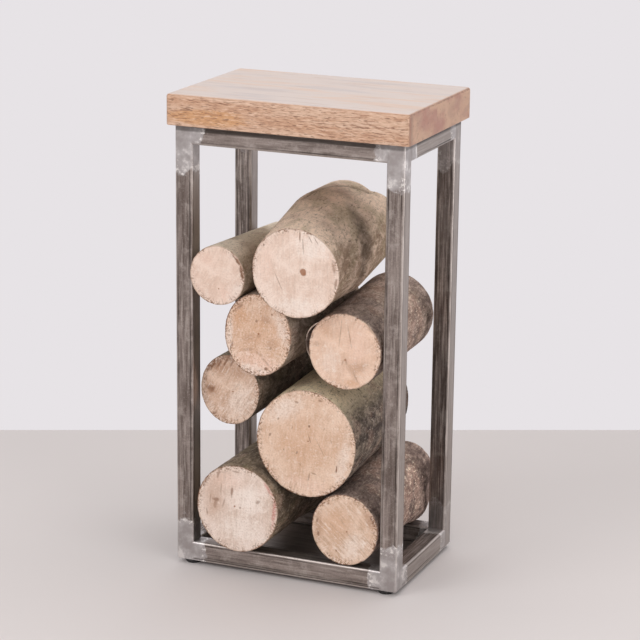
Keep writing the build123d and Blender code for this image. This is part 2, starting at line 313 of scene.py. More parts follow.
def tube_steel(name, run, painted_shade=0.0, ground_share=1.0, pale=0.0):
    """Lacquered tube: mill streaks along its run (0, 1, 2 for X, Y, Z), ground patches at the joints, and
    painted light and shade: dark streaks and pale tone to a set share, lighter side faces, dark lines beside
    the corners, a shadow under the top and pale corners.
    """
    paint = Finish(name)
    place = paint.place()
    fine = [STREAK_ACROSS] * 3
    fine[run] = STREAK_ALONG
    broad = [BLOTCH_ACROSS] * 3
    broad[run] = BLOTCH_ALONG

    # Mill scale
    streak = paint.strands(place, fine, 4, 0.6)
    blotch = paint.strands(place, broad, 5, 0.65, 0.3)
    cloud = paint.speckle(place, 55, 4, 0.6)
    grain = paint.speckle(place, 480, 4, 0.75)
    mill = paint.tint(STEEL_DARK, STEEL_MID, blotch, 0.36, 0.64)
    mill = paint.tint(mill, STEEL_PALE, streak, 0.5, 0.7, 0.6)
    mill = paint.tint(mill, STEEL_DARK, streak, 0.46, 0.3, 0.5)
    mill = paint.tint(mill, STEEL_PALE, cloud, 0.5, 0.68, 0.45)
    mill = paint.tint(mill, STEEL_DARK, grain, 0.52, 0.7, 0.5)
    mill = paint.tint(mill, STEEL_PALE, grain, 0.46, 0.3, 0.4)
    facing = paint.parts(paint.facing())
    # Painted shade: dark streaks, up to a set share
    mill = paint.tint(mill, STEEL_SHADE, streak, 0.62, 0.42, painted_shade)
    # Painted reflection: faces that look sideways are lightened toward a smooth pale tone
    mill = paint.tint(mill, STEEL_SIDE_SHEEN, paint.unsigned(facing[0]), 0.7, 0.95, 0.7)
    # Painted light: pale tone, up to a set share
    mill = paint.mix(pale, mill, STEEL_PALE)
    offsets = tube_offsets(paint, place)
    sides = [paint.unsigned(offsets[axis]) for axis in range(3) if axis != run]
    # Painted shade: dark lines beside the rounded corners, patchy
    from_shade_line = paint.unsigned(paint.less(paint.maths("MINIMUM", *sides), SHADE_LINE_PLACE))
    patchy = paint.step(blotch, 0.35, 0.65, 0.85, 0.25)
    mill = paint.tint(mill, STEEL_SHADE, from_shade_line, SHADE_LINE_HALF, SHADE_LINE_CORE, patchy)

    # Ground patches, with burrs along their edges
    edge = ground_edge(paint, place, offsets)
    ground = paint.step(edge, GROUND_EDGE, GROUND_END, ground_share, 0.0)
    bright = paint.tint(GROUND_DARK, GROUND_PALE, cloud, 0.36, 0.64)
    bright = paint.tint(bright, GROUND_BRIGHT, cloud, 0.56, 0.68, 0.6)
    bright = paint.tint(bright, GROUND_DARK, grain, 0.54, 0.7, 0.5)
    from_edge = paint.unsigned(paint.less(edge, BURR_MIDDLE))
    spatter = paint.step(paint.speckle(place, 260, 3, 0.7), 0.52, 0.62)
    bright = paint.tint(bright, GROUND_BRIGHT, from_edge, BURR_HALF, 0.0, spatter)

    # Painted shadow under the top, and corners lightened partly by wear and partly as a painted highlight
    under_top = paint.step(paint.parts(place)[2], UNDER_TOP_SHADOW_START, UNDER_TOP_SHADOW_FULL)
    under_top_shadow = paint.times(under_top, paint.step(ground, 0.1, 0.9, 0.85, 0.6))
    colour = paint.mix(under_top_shadow, paint.mix(ground, mill, bright), STEEL_SHADE)
    # Corners lightened toward a pale tone, partly wear and partly a painted highlight
    first, second = [facing[axis] for axis in range(3) if axis != run]
    corner = paint.unsigned(paint.times(first, second))
    wear_and_highlight = paint.step(blotch, 0.4, 0.62, 0.08, 0.42)
    colour = paint.tint(colour, STEEL_WEAR_HIGHLIGHT, corner, 0.2, 0.45, wear_and_highlight)
    roughness = paint.step(streak, 0.3, 0.7, 0.48, 0.36)
    relief = paint.plus(streak, paint.times(grain, 0.5))
    return paint.done(colour, roughness, relief, 0.05, metallic=STEEL_METALLIC)


def weld_steel():
    """Weld metal, dull grey with blue and straw heat tints."""
    paint = Finish("weld_metal")
    place = paint.place()
    tint = paint.speckle(place, 160, 4)
    colour = paint.tint(WELD_GREY, WELD_STRAW, tint, 0.35, 0.65)
    pits = paint.speckle(place, 500, 2)
    colour = paint.tint(colour, WELD_PIT, pits, 0.6, 0.7)
    return paint.done(colour, 0.45, tint, 0.2, metallic=STEEL_METALLIC)


def plated_steel():
    """Zinc plating with a faint straw bloom."""
    paint = Finish("zinc_plating")
    bloom = paint.speckle(paint.place(), 300, 3)
    colour = paint.tint(ZINC_GREY, ZINC_STRAW, bloom, 0.35, 0.65)
    return paint.done(colour, 0.35, bloom, 0.03, metallic=1.0)


def foot_rubber():
    """Black moulded rubber with a dusty bloom."""
    paint = Finish("foot_rubber")
    place = paint.place()
    dust = paint.speckle(place, 220, 5, 0.6)
    colour = paint.tint(RUBBER_BLACK, RUBBER_DUST, dust, 0.45, 0.75)
    return paint.done(colour, 0.75, paint.speckle(place, 1500, 2), 0.08)


# Wood of the top
GRAIN_DARK = tone(122, 84, 62)
FIBRE = tone(160, 116, 91)
WOOD_WARM = tone(198, 156, 128)
WOOD_PALE = tone(212, 178, 154)
WOOD_LIGHT = tone(232, 200, 176)
WOOD_AMBER = tone(204, 148, 92)
EDGE_BROWN = tone(172, 132, 106)
# Painted sheen: pale tones of the top
TOP_SHEEN_PALE = tone(207, 193, 186)
TOP_SHEEN_TAN = tone(211, 183, 164)
TOP_SHEEN_GREY = tone(187, 177, 176)
END_PINK = tone(180, 127, 108)
END_TAN = tone(204, 163, 134)
END_GREY = tone(180, 138, 116)
END_DARK = tone(138, 100, 82)
top_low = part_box("top_board_front")[0]
AMBER_CENTRE = (top_low.x + 58 * MM, top_low.y, top_low.z + 13 * MM)
AMBER_SIZE = (64 * MM, 30 * MM, 13 * MM)
CORNER_SHADE = 16 * MM

# Grain patterns, in waves per metre along X, Y and Z, and the sways that make the fibres wavy
FIGURE_WAVES = (7, 60, 60)
FIBRE_WAVES = (80, 520, 520)
PORE_WAVES = (90, 760, 760)
SHEEN_WAVES = (5, 38, 38)
STREAK_WAVES = (14, 210, 210)
END_WAVES = (19, 14, 30)
BLUSH_WAVES = (27, 18, 42)
DOT_WAVES = (80, 170, 240)
Sway = namedtuple("Sway", "waves reach")
SWAYS = [Sway(14.0, 7.0 * MM), Sway(55.0, 2.4 * MM)]


def board_wood(name, shift, warmth):
    """Oiled board: grain along X, fine wavy fibres, a top painted pale as sheen, and end grain at both ends.
    """
    paint = Finish(name)
    bare = paint.place()
    place = paint.vector("ADD", bare, (shift, shift, shift))
    wavy = place
    for sway in SWAYS:
        inputs = {"Vector": place, "Scale": sway.waves, "Detail": 2.0}
        drift = paint.node("ShaderNodeTexNoise", inputs, "Color")
        drift = paint.vector("MULTIPLY", drift, (0, sway.reach, sway.reach))
        wavy = paint.vector("ADD", wavy, drift)
    figure = paint.strands(wavy, FIGURE_WAVES, 4, 0.6, 0.6)
    fibre = paint.strands(wavy, FIBRE_WAVES, 3, 0.65)
    pore = paint.strands(wavy, PORE_WAVES, 2, 0.5)
    colour = paint.tint(WOOD_WARM, WOOD_PALE, figure, 0.36, 0.64)
    spot = paint.length(paint.centred(bare, AMBER_CENTRE, 0.0, AMBER_SIZE))
    spot = paint.plus(spot, paint.less(figure, 0.5))
    colour = paint.tint(colour, WOOD_AMBER, spot, 1.1, 0.5, warmth)
    colour = paint.tint(colour, FIBRE, fibre, 0.5, 0.68, 0.75)
    colour = paint.tint(colour, WOOD_LIGHT, fibre, 0.5, 0.32, 0.6)
    colour = paint.tint(colour, GRAIN_DARK, pore, 0.56, 0.66, 0.75)

    # Painted sheen: pale top tones where the surface faces up, and brown on its rounded edges
    sheen = paint.strands(wavy, SHEEN_WAVES, 4, 0.6, 0.4)
    streak = paint.strands(wavy, STREAK_WAVES, 3, 0.6)
    top = paint.tint(TOP_SHEEN_PALE, TOP_SHEEN_TAN, sheen, 0.5, 0.66, 0.9)
    top = paint.tint(top, TOP_SHEEN_GREY, sheen, 0.46, 0.32, 0.7)
    top = paint.tint(top, EDGE_BROWN, streak, 0.54, 0.7, 0.35)
    facing = paint.parts(paint.facing())
    colour = paint.tint(colour, EDGE_BROWN, facing[2], 0.25, 0.55, 0.5)
    colour = paint.tint(colour, top, facing[2], 0.75, 0.97, 0.9)

    # End grain, with painted shade toward the front corner and a dark dotted band along the rounded top edge,
    # partly dots and partly painted shade
    clouds = paint.strands(place, END_WAVES, 3, 0.5, 0.4)
    blush = paint.strands(place, BLUSH_WAVES, 2, 0.5, 0.6)
    dots = paint.strands(place, DOT_WAVES, 4, 0.7)
    end = paint.tint(END_PINK, END_TAN, clouds, 0.4, 0.58)
    end = paint.tint(end, END_GREY, blush, 0.5, 0.66, 0.6)
    end = paint.tint(end, END_DARK, dots, 0.54, 0.7, 0.55)
    dotted = paint.step(dots, 0.42, 0.56, 0.35, 0.95)
    end = paint.tint(end, END_DARK, facing[2], 0.15, 0.5, dotted)
    from_front = paint.less(paint.parts(bare)[1], top_low.y)
    end = paint.tint(end, END_DARK, from_front, CORNER_SHADE, 0.0, 0.7)
    colour = paint.tint(colour, end, paint.unsigned(facing[0]), 0.5, 0.85)
    relief = paint.plus(fibre, pore)
    roughness = paint.step(figure, 0.3, 0.7, 0.42, 0.52)
    paint.coat(weight=0.3, roughness=0.35)
    return paint.done(colour, roughness, relief, 0.12, specular=0.35)


# Logs. Marks lie on the sawn front face, in millimetres from its middle. Scars lie on the bark, by
# their place across and up from the log's axis and along it from the front face. A scar whose depth
# is below zero is a knob; the others carry painted shade. The bark's upper side is painted lighter,
# as light falls on it, in its own top tone, or in the pale tone if none is given.
Mark = namedtuple("Mark", "x z across along turn strength depth")
Stain = namedtuple("Stain", "x z across along turn strength tone")
Scar = namedtuple("Scar", "x y z reach depth")
LOG_FACE = "face_pale face_warm saw_turn saw_strength pith heart grit flaky stains marks "
LOG_BARK = "bark_dark bark_pale dusty faded moss rough crown scars"
Log = namedtuple("Log", "node " + LOG_FACE + LOG_BARK, defaults=(None, ()))
CRACK = tone(126, 88, 64)
RIM_BROWN = tone(120, 84, 62)
RIM_PALE = tone(200, 176, 156)
PITH = tone(152, 100, 68)
RIM_RED = tone(196, 128, 118)
FACE_WHITE = tone(244, 230, 220)
FACE_PINK = tone(232, 196, 178)
FACE_ORANGE = tone(204, 156, 120)
FACE_BROWN = tone(178, 136, 108)
FRINGE = tone(132, 96, 74)
BARK_CRACK = tone(62, 50, 41)
BARK_BLUSH = tone(172, 138, 122)
HOLLOW_SHADE = tone(78, 64, 51)
BARK_DUST = tone(206, 190, 172)
MOSS = tone(146, 134, 100)
TORN_BROWN = tone(176, 150, 134)
TORN_PALE = tone(226, 208, 196)

# How a log is cut up: staves round it, rings along it, and rings on its ends by shares of the radius
AROUND = 256
ALONG = 150
RIM_INSETS = (0.008, 0.012, 0.02, 0.03)
FACE_RINGS = 20
RIM_SHARE = 0.9995
END_INSET = 0.2 * MM
SAWN_DEPTH = 3 * MM
SAWN_FACING = 0.7

# Relief of bark and sawn ends: waves per metre, depths in millimetres, and the painted shade in furrows and
# scars
SWELL_WAVES = 22
SWELL_DEPTH = 0.3
FURROW_WAVES = (120, 26, 120)
FURROW_WIDTH = 0.12
FURROW_DEPTH = 0.5
FURROW_SHADE = 0.4
GRIT_WAVES = 300
GRIT_DEPTH = 0.25
CHIP_WAVES = 180
CHIP_DEPTH = 0.7
CHIP_REACH = 3
SAW_WAVES = 60
SAW_DEPTH = 0.5
MARK_EDGE = 1.2
SCAR_SPACING = 0.5
SCAR_SHADE = 3.2

# Bark: the share of its dark tone that its specks have, and where the painted light along a log, brighter or
# darker toward its rear, starts and is full
BARK_SHADE = 0.5
ALONG_LIGHT_START = 40 * MM
ALONG_LIGHT_FULL = 170 * MM

# Sawn ends: where the front face's own stains and marks stop, year rings, streaks, and blurred edges
FRONT_END = 50 * MM
FRONT_GONE = 80 * MM
RING_WAVES = 1700.0
RING_WOBBLE = 9.0
STREAK_SHADE = 0.74
STAIN_EDGE = (0.3, 1.4)
STAIN_BLUR = 2.2
CRACK_EDGE = (0.4, 1.25)
CRACK_BLUR = 1.8


def crease(*points):
    """Scars in a row through some scars, near enough to join."""
    row = []
    for first, second in zip(points, points[1:]):
        gap = math.dist(first[:3], second[:3])
        steps = math.ceil(gap / (SCAR_SPACING * min(first.reach, second.reach)))
        for step in range(steps):
            share = step / steps
            row.append(Scar(*[one + (two - one) * share for one, two in zip(first, second)]))
    return row


FORK_CREASE = crease(
    Scar(25, 154, 56, 14, 0.6),
    Scar(32, 152, 51, 18, 1.6),
    Scar(45, 142, 43, 24, 2.8),
    Scar(55, 126, 35, 31, 3.2),
    Scar(63, 117, 24, 35, 3.2),
    Scar(67, 110, 16, 34, 3.2),
    Scar(68, 102, 7, 29, 3.0),
    Scar(68, 97, -9, 21, 2.6),
    Scar(63, 101, -28, 16, 2.0),
)
FORK_RIDGE = crease(
    Scar(-37, 138, 59, 8, 1.2),
    Scar(-30, 161, 64, 8, 2.2),
    Scar(-23, 195, 63, 8, 2.6),
    Scar(-8, 219, 62, 8, 2.6),
    Scar(8, 237, 56, 8, 2.4),
    Scar(22, 255, 46, 8, 1.8),
    Scar(30, 262, 40, 8, 1.2),
)
KNOB = Scar(54, 165, -30, 52, -5.5)
HEEL = Scar(42, 196, -33, 44, -6.5)

LOGS = [
    Log(
        "log_top_left", face_pale=tone(238, 214, 199), face_warm=tone(222, 192, 174),
        saw_turn=0.5, saw_strength=0.25, pith=(2, -18), heart=1.0, grit=0.35, flaky=0.5,
        stains=[
            Stain(20, -26, 20, 12, 0.4, 0.7, FACE_PINK),
            Stain(26, -22, 12, 18, 0.5, 0.5, FACE_WHITE),
            Stain(-18, 22, 16, 10, 0.3, 0.4, FACE_PINK),
        ],
        marks=[
            Mark(29, 22, 2.6, 10, -0.65, 0.9, 0.5),
            Mark(35, 7, 2.6, 12, -0.2, 0.9, 0.5),
            Mark(24, 27, 1.2, 6, -0.75, 0.5, 0.3),
            Mark(2, -38, 0.8, 6, 0.2, 0.4, 0.1),
            Mark(8, -36, 0.8, 6, -0.3, 0.3, 0.1),
            Mark(20, -30, 0.8, 7, -0.6, 0.3, 0.1),
        ],
        bark_dark=tone(174, 154, 132), bark_pale=tone(236, 218, 198), crown=tone(244, 228, 208),
        dusty=0.9, faded=0.15, moss=0.35, rough=0.4,
    ),
    Log(
        "log_top_centre", face_pale=tone(239, 217, 203), face_warm=tone(223, 195, 178),
        saw_turn=0.0, saw_strength=0.28, pith=(10.5, 2.6), heart=4.9, grit=0.45, flaky=0.5,
        stains=[
            Stain(22, 38, 22, 18, -0.5, 0.7, FACE_WHITE),
            Stain(0, -44, 30, 12, 0.0, 0.6, FACE_WHITE),
            Stain(-42, 10, 12, 26, 0.2, 0.4, FACE_PINK),
        ],
        marks=[
            Mark(5.5, 50, 1.0, 8.0, 0.0, 0.85, 0.8),
            Mark(10, 36, 0.8, 10.0, -0.08, 0.6, 0.5),
            Mark(20, 47, 0.8, 6.0, -0.5, 0.6, 0.5),
            Mark(28, 46, 0.8, 7.0, -0.6, 0.5, 0.4),
            Mark(-24.5, -12, 0.8, 14.0, -0.45, 0.45, 0.2),
            Mark(-45, 33.4, 1.0, 1.7, 0.0, 0.9, 0.3),
            Mark(12.6, 0.6, 2.0, 2.8, -0.7, 0.5, 0.2),
            Mark(53, 12, 2.4, 9.0, -0.2, 0.5, 0.2),
            Mark(56, -8, 2.2, 7.0, 0.1, 0.6, 0.3),
        ],
        bark_dark=tone(152, 126, 105), bark_pale=tone(234, 207, 185), crown=tone(242, 216, 194),
        dusty=0.9, faded=0.05, moss=0.45, rough=0.55, scars=FORK_CREASE + FORK_RIDGE,
    ),
    Log(
        "log_upper_left", face_pale=tone(228, 196, 173), face_warm=tone(210, 170, 142),
        saw_turn=0.3, saw_strength=0.25, pith=(1, 2), heart=1.5, grit=0.9, flaky=1.0,
        stains=[
            Stain(-27, 22, 13, 15, 0.3, 0.8, FACE_ORANGE),
            Stain(4, 8, 24, 18, 0.0, 0.45, FACE_ORANGE),
            Stain(12, 22, 8, 6, 0.5, 0.6, FACE_BROWN),
            Stain(20, -10, 7, 9, 0.2, 0.5, FACE_BROWN),
            Stain(-12, -4, 9, 6, -0.4, 0.5, FACE_BROWN),
            Stain(0, -40, 36, 16, 0.15, 0.8, FACE_PINK),
            Stain(-6, -48, 24, 8, 0.1, 0.5, FACE_WHITE),
            Stain(34, 12, 8, 26, -0.3, 0.5, FACE_WHITE),
            Stain(-42, -4, 6, 26, 0.1, 0.5, FACE_WHITE),
        ],
        marks=[
            Mark(-2, 19, 2.0, 2.4, 0.0, 0.6, 0.2),
            Mark(20, 30, 1.2, 1.6, 0.0, 0.7, 0.2),
            Mark(1, -1, 3.4, 3.0, 0.0, 0.3, 0.1),
            Mark(-14, -21, 2.6, 9.0, 1.35, 0.25, 0.2),
            Mark(3, -26, 2.4, 8.0, -1.1, 0.25, 0.2),
            Mark(12, -36, 2.0, 9.0, -0.8, 0.35, 0.2),
            Mark(12, -45, 3.0, 2.4, 0.0, 0.8, 0.3),
            Mark(-38, -18, 1.8, 6.0, 0.3, 0.6, 0.3),
            Mark(18, -16, 1.6, 3.0, 0.5, 0.45, 0.2),
            Mark(-26, 36, 2.2, 6.0, 0.9, 0.5, 0.2),
        ],
        bark_dark=tone(126, 108, 95), bark_pale=tone(188, 168, 152),
        dusty=0.4, faded=0.0, moss=0.2, rough=0.6,
    ),
    Log(
        "log_upper_right", face_pale=tone(236, 204, 182), face_warm=tone(221, 185, 161),
        saw_turn=0.0, saw_strength=0.2, pith=(0.6, -11), heart=1.2, grit=0.35, flaky=0.55,
        stains=[
            Stain(18, 8, 16, 30, 0.1, 0.4, FACE_PINK),
            Stain(-20, -14, 16, 20, 0.1, 0.35, FACE_WHITE),
            Stain(19, -19, 13, 7, -0.3, 0.6, FACE_BROWN),
            Stain(12, -42, 13, 6, 0.2, 0.6, FACE_ORANGE),
            Stain(-41, 6, 6, 4, 0.0, 0.6, FACE_BROWN),
            Stain(-28, 26, 14, 9, 0.7, 0.4, FACE_ORANGE),
            Stain(9, -24, 5, 20, -0.6, 0.4, FACE_BROWN),
        ],
        marks=[
            Mark(-6.6, 23.5, 1.0, 20.0, 0.1, 0.35, 0.2),
            Mark(6.6, 20.6, 1.0, 17.0, -0.2, 0.35, 0.2),
            Mark(2, -13, 1.6, 5.0, -0.2, 0.3, 0.1),
            Mark(-3, -15, 1.4, 4.0, 0.3, 0.25, 0.1),
            Mark(16, -34, 1.4, 8.0, -0.5, 0.3, 0.1),
            Mark(44, 22, 2.4, 9.0, -0.45, 0.65, 0.3),
            Mark(36, 34, 3.0, 8.0, -0.8, 0.5, 0.2),
        ],
        bark_dark=tone(108, 91, 84), bark_pale=tone(184, 162, 150),
        dusty=0.25, faded=0.5, moss=0.1, rough=0.5,
    ),
    Log(
        "log_middle_left", face_pale=tone(224, 194, 173), face_warm=tone(204, 169, 146),
        saw_turn=0.5, saw_strength=0.6, pith=(4, -2), heart=1.2, grit=0.65, flaky=0.75,
        stains=[
            Stain(14, -14, 18, 28, 0.5, 0.45, FACE_WHITE),
            Stain(-20, 34, 24, 12, 0.4, 0.9, FACE_BROWN),
            Stain(-25, 36, 7, 20, 0.82, 0.95, FRINGE),
            Stain(-2, 45, 6, 14, 1.4, 0.9, FRINGE),
            Stain(16, 26, 12, 10, 0.2, 0.6, FACE_BROWN),
            Stain(-28, -2, 9, 9, 0.5, 0.8, FACE_BROWN),
        ],
        marks=[
            Mark(-31, -1, 6.0, 3.4, 0.3, 0.6, 0.3),
            Mark(-26, -3, 2.6, 6.0, 0.6, 0.65, 0.3),
            Mark(-26, 30, 1.8, 9.0, 0.6, 0.75, 0.2),
            Mark(-16, 34, 1.8, 8.0, 0.55, 0.75, 0.2),
            Mark(-7, 37, 1.8, 8.0, 0.5, 0.75, 0.2),
            Mark(3, 38, 1.6, 8.0, 0.5, 0.65, 0.2),
            Mark(-32, 26, 1.6, 7.0, 0.5, 0.6, 0.2),
            Mark(-36, 12, 2.0, 7.0, 0.2, 0.4, 0.1),
            Mark(-24, -36, 2.0, 6.0, 0.9, 0.5, 0.2),
        ],
        bark_dark=tone(112, 98, 84), bark_pale=tone(168, 150, 134), crown=tone(176, 158, 138),
        dusty=0.3, faded=0.0, moss=0.3, rough=0.5,
    ),
    Log(
        "log_middle_centre", face_pale=tone(230, 200, 178), face_warm=tone(214, 178, 152),
        saw_turn=0.06, saw_strength=0.3, pith=(3, 4), heart=1.2, grit=0.6, flaky=0.7,
        stains=[
            Stain(-30, 44, 30, 14, -0.6, 0.55, FACE_WHITE),
            Stain(52, -20, 9, 34, 0.2, 0.5, FACE_WHITE),
            Stain(0, -56, 34, 10, 0.1, 0.4, FACE_PINK),
            Stain(-4, 0, 44, 40, 0.2, 0.4, FACE_ORANGE),
        ],
        marks=[
            Mark(4.5, 25, 1.7, 2.0, 0.0, 0.85, 0.4),
            Mark(44, -30, 1.2, 5.5, 0.15, 0.85, 0.4),
            Mark(5, 8, 0.9, 8.0, -0.3, 0.5, 0.3),
            Mark(-13, -14, 1.5, 2.4, 0.5, 0.55, 0.2),
            Mark(20, 62, 3.0, 2.0, 0.3, 0.6, 0.3),
            Mark(5, -45, 1.4, 6.0, 0.2, 0.5, 0.2),
            Mark(12, -40, 4.0, 1.2, 0.2, 0.45, 0.2),
            Mark(-52, 6, 1.6, 3.0, 0.4, 0.6, 0.2),
            Mark(-40, 30, 1.4, 2.0, 0.4, 0.5, 0.2),
            Mark(20, -2, 0.8, 14.0, -0.5, 0.3, 0.1),
            Mark(-20, 20, 0.9, 3.2, 0.2, 0.4, 0.1),
            Mark(-8, -30, 0.9, 3.0, -0.2, 0.4, 0.1),
            Mark(26, 24, 0.9, 3.0, 0.4, 0.4, 0.1),
            Mark(-32, -12, 1.2, 1.6, 0.2, 0.5, 0.1),
            Mark(36, 8, 0.9, 3.0, -0.3, 0.35, 0.1),
            Mark(-14, 56, 3.6, 1.6, 0.2, 0.5, 0.2),
        ],
        bark_dark=tone(78, 67, 62), bark_pale=tone(164, 147, 132), crown=tone(236, 216, 182),
        dusty=1.0, faded=-0.15, moss=0.08, rough=0.7,
    ),
    Log(
        "log_bottom_left", face_pale=tone(232, 212, 200), face_warm=tone(214, 189, 173),
        saw_turn=0.0, saw_strength=0.3, pith=(-4, 3), heart=1.4, grit=0.55, flaky=0.7,
        stains=[
            Stain(16, 14, 24, 22, 0.3, 0.8, FACE_WHITE),
            Stain(6, -28, 34, 20, 0.1, 0.6, FACE_WHITE),
            Stain(-34, 14, 16, 34, 0.1, 0.5, FACE_BROWN),
            Stain(-14, 38, 26, 12, 0.1, 0.4, FACE_PINK),
            Stain(54, 4, 3, 26, 0.1, 0.9, RIM_RED),
            Stain(46, 34, 3, 12, -0.6, 0.8, RIM_RED),
        ],
        marks=[
            Mark(-8, 23, 2.0, 9.0, 0.05, 0.65, 0.2),
            Mark(-31, 9, 6.0, 3.0, 0.1, 0.6, 0.2),
            Mark(-33, 2, 3.0, 6.0, 0.1, 0.4, 0.1),
            Mark(4, 2, 1.6, 1.8, 0.0, 0.6, 0.2),
            Mark(30.5, 14, 2.6, 4.0, 0.8, 0.55, 0.1),
            Mark(-20, 6, 1.4, 10.0, 0.3, 0.35, 0.1),
            Mark(-28, 46, 1.8, 8.0, 0.3, 0.45, 0.1),
            Mark(-48, 32, 2.0, 9.0, 0.7, 0.7, 0.3),
            Mark(-2, 52, 6.0, 1.4, 0.1, 0.5, 0.2),
            Mark(-40, 10, 1.2, 8.0, 0.1, 0.4, 0.1),
            Mark(-24, 26, 1.0, 8.0, 0.1, 0.35, 0.1),
            Mark(-45, -10, 1.4, 7.0, -0.1, 0.45, 0.1),
        ],
        bark_dark=tone(102, 87, 72), bark_pale=tone(168, 148, 128),
        dusty=0.25, faded=0.0, moss=0.35, rough=0.5, scars=[KNOB],
    ),
    Log(
        "log_bottom_right", face_pale=tone(226, 196, 174), face_warm=tone(208, 173, 147),
        saw_turn=-0.85, saw_strength=0.65, pith=(3, -2), heart=1.2, grit=0.35, flaky=0.75,
        stains=[
            Stain(12, -22, 24, 14, -0.8, 0.5, FACE_WHITE),
            Stain(-12, 8, 22, 20, -0.8, 0.45, FACE_ORANGE),
            Stain(34, 20, 6, 18, -0.4, 0.7, FACE_BROWN),
            Stain(-38, 0, 6, 26, 0.1, 0.6, FACE_BROWN),
        ],
        marks=[
            Mark(-40, 8, 1.6, 3.0, 0.1, 0.7, 0.2),
            Mark(-30, 34, 1.8, 2.2, 0.6, 0.7, 0.2),
            Mark(-24, 34, 1.4, 2.0, 0.2, 0.6, 0.2),
            Mark(-38, -10, 1.8, 4.0, -0.2, 0.7, 0.2),
            Mark(-12, -31, 1.2, 1.6, 0.0, 0.6, 0.2),
            Mark(40, 18, 2.6, 10.0, -0.4, 0.8, 0.3),
        ],
        bark_dark=tone(88, 72, 67), bark_pale=tone(156, 134, 124),
        dusty=0.2, faded=0.85, moss=0.05, rough=0.6, scars=[HEEL, Scar(0.3, 11, 49.9, 5, 1.2)],
    ),
]


def darker(shade, share):
    """Shade with its brightness cut to a share."""
    return [part * share for part in shade[:3]] + [1.0]


def spot_share(paint, flat, spot, blur, edge):
    """Share that a stain or mark covers at a point of the sawn face, with a blurred edge."""
    size = (spot.across * MM, 1, spot.along * MM)
    away = paint.length(paint.centred(flat, (spot.x * MM, 0, spot.z * MM), spot.turn, size))
    return paint.step(paint.plus(away, blur), *edge, spot.strength, 0.0)


def sawn_wood(log):
    """Sawn end: mottled pale wood with faint rings, fine rays, saw lines, stains, marks, and a ragged rim."""
    paint = Finish(f"sawn_{log.node}")
    place = paint.attribute("log_place", "Vector")
    from_rim = paint.attribute("from_rim", "Fac")
    flat = paint.stretched(place, (1, 0, 1))
    front = paint.step(paint.parts(place)[1], FRONT_END, FRONT_GONE, 1.0, 0.0)
    from_pith = paint.centred(flat, (log.pith[0] * MM, 0, log.pith[1] * MM))
    streak_tone = darker(log.face_warm, STREAK_SHADE)
    mottle = paint.speckle(place, 34, 5, 0.65, 0.3)
    cloud = paint.speckle(place, 170, 4, 0.7)
    fine = paint.speckle(place, 420, 3, 0.75)
    ragged = paint.less(paint.speckle(place, 210, 3, 0.65), 0.5)

    # Mottled wood with its stains
    colour = paint.tint(log.face_pale, log.face_warm, mottle, 0.38, 0.64)
    blur = paint.times(paint.less(cloud, 0.5), STAIN_BLUR)
    for stain in log.stains:
        share = spot_share(paint, flat, stain, blur, STAIN_EDGE)
        colour = paint.mix(paint.times(share, front), colour, stain.tone)
    colour = paint.tint(colour, log.face_warm, cloud, 0.52, 0.7, 0.5)
    colour = paint.tint(colour, FACE_WHITE, cloud, 0.48, 0.3, 0.5)

    # Year rings, and rays that run out from the pith
    wobble = paint.times(paint.speckle(place, 40, 2), RING_WOBBLE)
    ring = paint.times(paint.length(from_pith), RING_WAVES)
    ring = paint.maths("SINE", paint.plus(ring, wobble))
    colour = paint.tint(colour, streak_tone, ring, 0.2, 1.0, 0.1)
    spread = paint.vector("MULTIPLY", paint.vector("NORMALIZE", from_pith), (34, 34, 34))
    lengthwise = paint.vector("MULTIPLY", from_pith, (60, 60, 60))
    ray = paint.speckle(paint.vector("ADD", spread, lengthwise), 1.0, 3, 0.6)
    fan = paint.step(paint.speckle(place, 28, 2), 0.42, 0.62, 0.1, 1.0)
    outer = paint.times(paint.step(from_rim, 2.0, 30.0, 0.55, 0.15), fan)
    colour = paint.tint(colour, streak_tone, ray, 0.5, 0.68, outer)
    colour = paint.tint(colour, FACE_WHITE, ray, 0.48, 0.32, outer)

    # Saw lines and grit
    turned = paint.centred(flat, (0, 0, 0), log.saw_turn)
    saw = paint.strands(turned, (300, 1, 40), 4, 0.65)
    sawn = paint.times(paint.step(mottle, 0.36, 0.6, 0.35, 1.0), log.saw_strength)
    colour = paint.tint(colour, streak_tone, saw, 0.5, 0.66, sawn)
    colour = paint.tint(colour, FACE_WHITE, saw, 0.46, 0.32, sawn)
    colour = paint.tint(colour, streak_tone, fine, 0.53, 0.66, log.grit)
    colour = paint.tint(colour, FACE_WHITE, fine, 0.46, 0.32, log.grit * 0.6)

    # Cracks, marks and the pith
    blur = paint.times(ragged, CRACK_BLUR)
    for mark in log.marks:
        share = spot_share(paint, flat, mark, blur, CRACK_EDGE)
        colour = paint.mix(paint.times(share, front), colour, CRACK)
    heart = paint.maths("DIVIDE", paint.length(from_pith), log.heart * MM)
    heart = paint.plus(heart, paint.times(ragged, 0.8))
    colour = paint.tint(colour, PITH, heart, 1.1, 0.75, paint.times(front, 0.85))

    # Rim: a pale line, then a thin brown one, and flakes of bark beside it
    flaky = log.flaky * 0.25
    patchy = paint.step(paint.speckle(place, 38, 3, 0.6), 0.58 - flaky, 0.7 - flaky)
    rim = paint.plus(from_rim, paint.times(ragged, 4.0))
    colour = paint.tint(colour, RIM_PALE, rim, 2.6, 0.6, 0.5)
    thin = paint.plus(paint.times(patchy, 0.6), 0.3)
    colour = paint.tint(colour, RIM_BROWN, rim, 1.5, 0.4, thin)
    near = paint.times(paint.step(from_rim, 1.0, 4.0 + log.flaky * 9.0, 1.0, 0.0), patchy)
    bits = paint.speckle(place, 320, 4, 0.75)
    colour = paint.tint(colour, RIM_BROWN, bits, 0.515, 0.56, paint.times(near, 0.9))
    colour = paint.tint(colour, FACE_WHITE, bits, 0.46, 0.41, paint.times(near, 0.5))
    relief = paint.plus(saw, paint.times(fine, 0.7))
    return paint.done(colour, 0.8, relief, 0.3, specular=0.3)


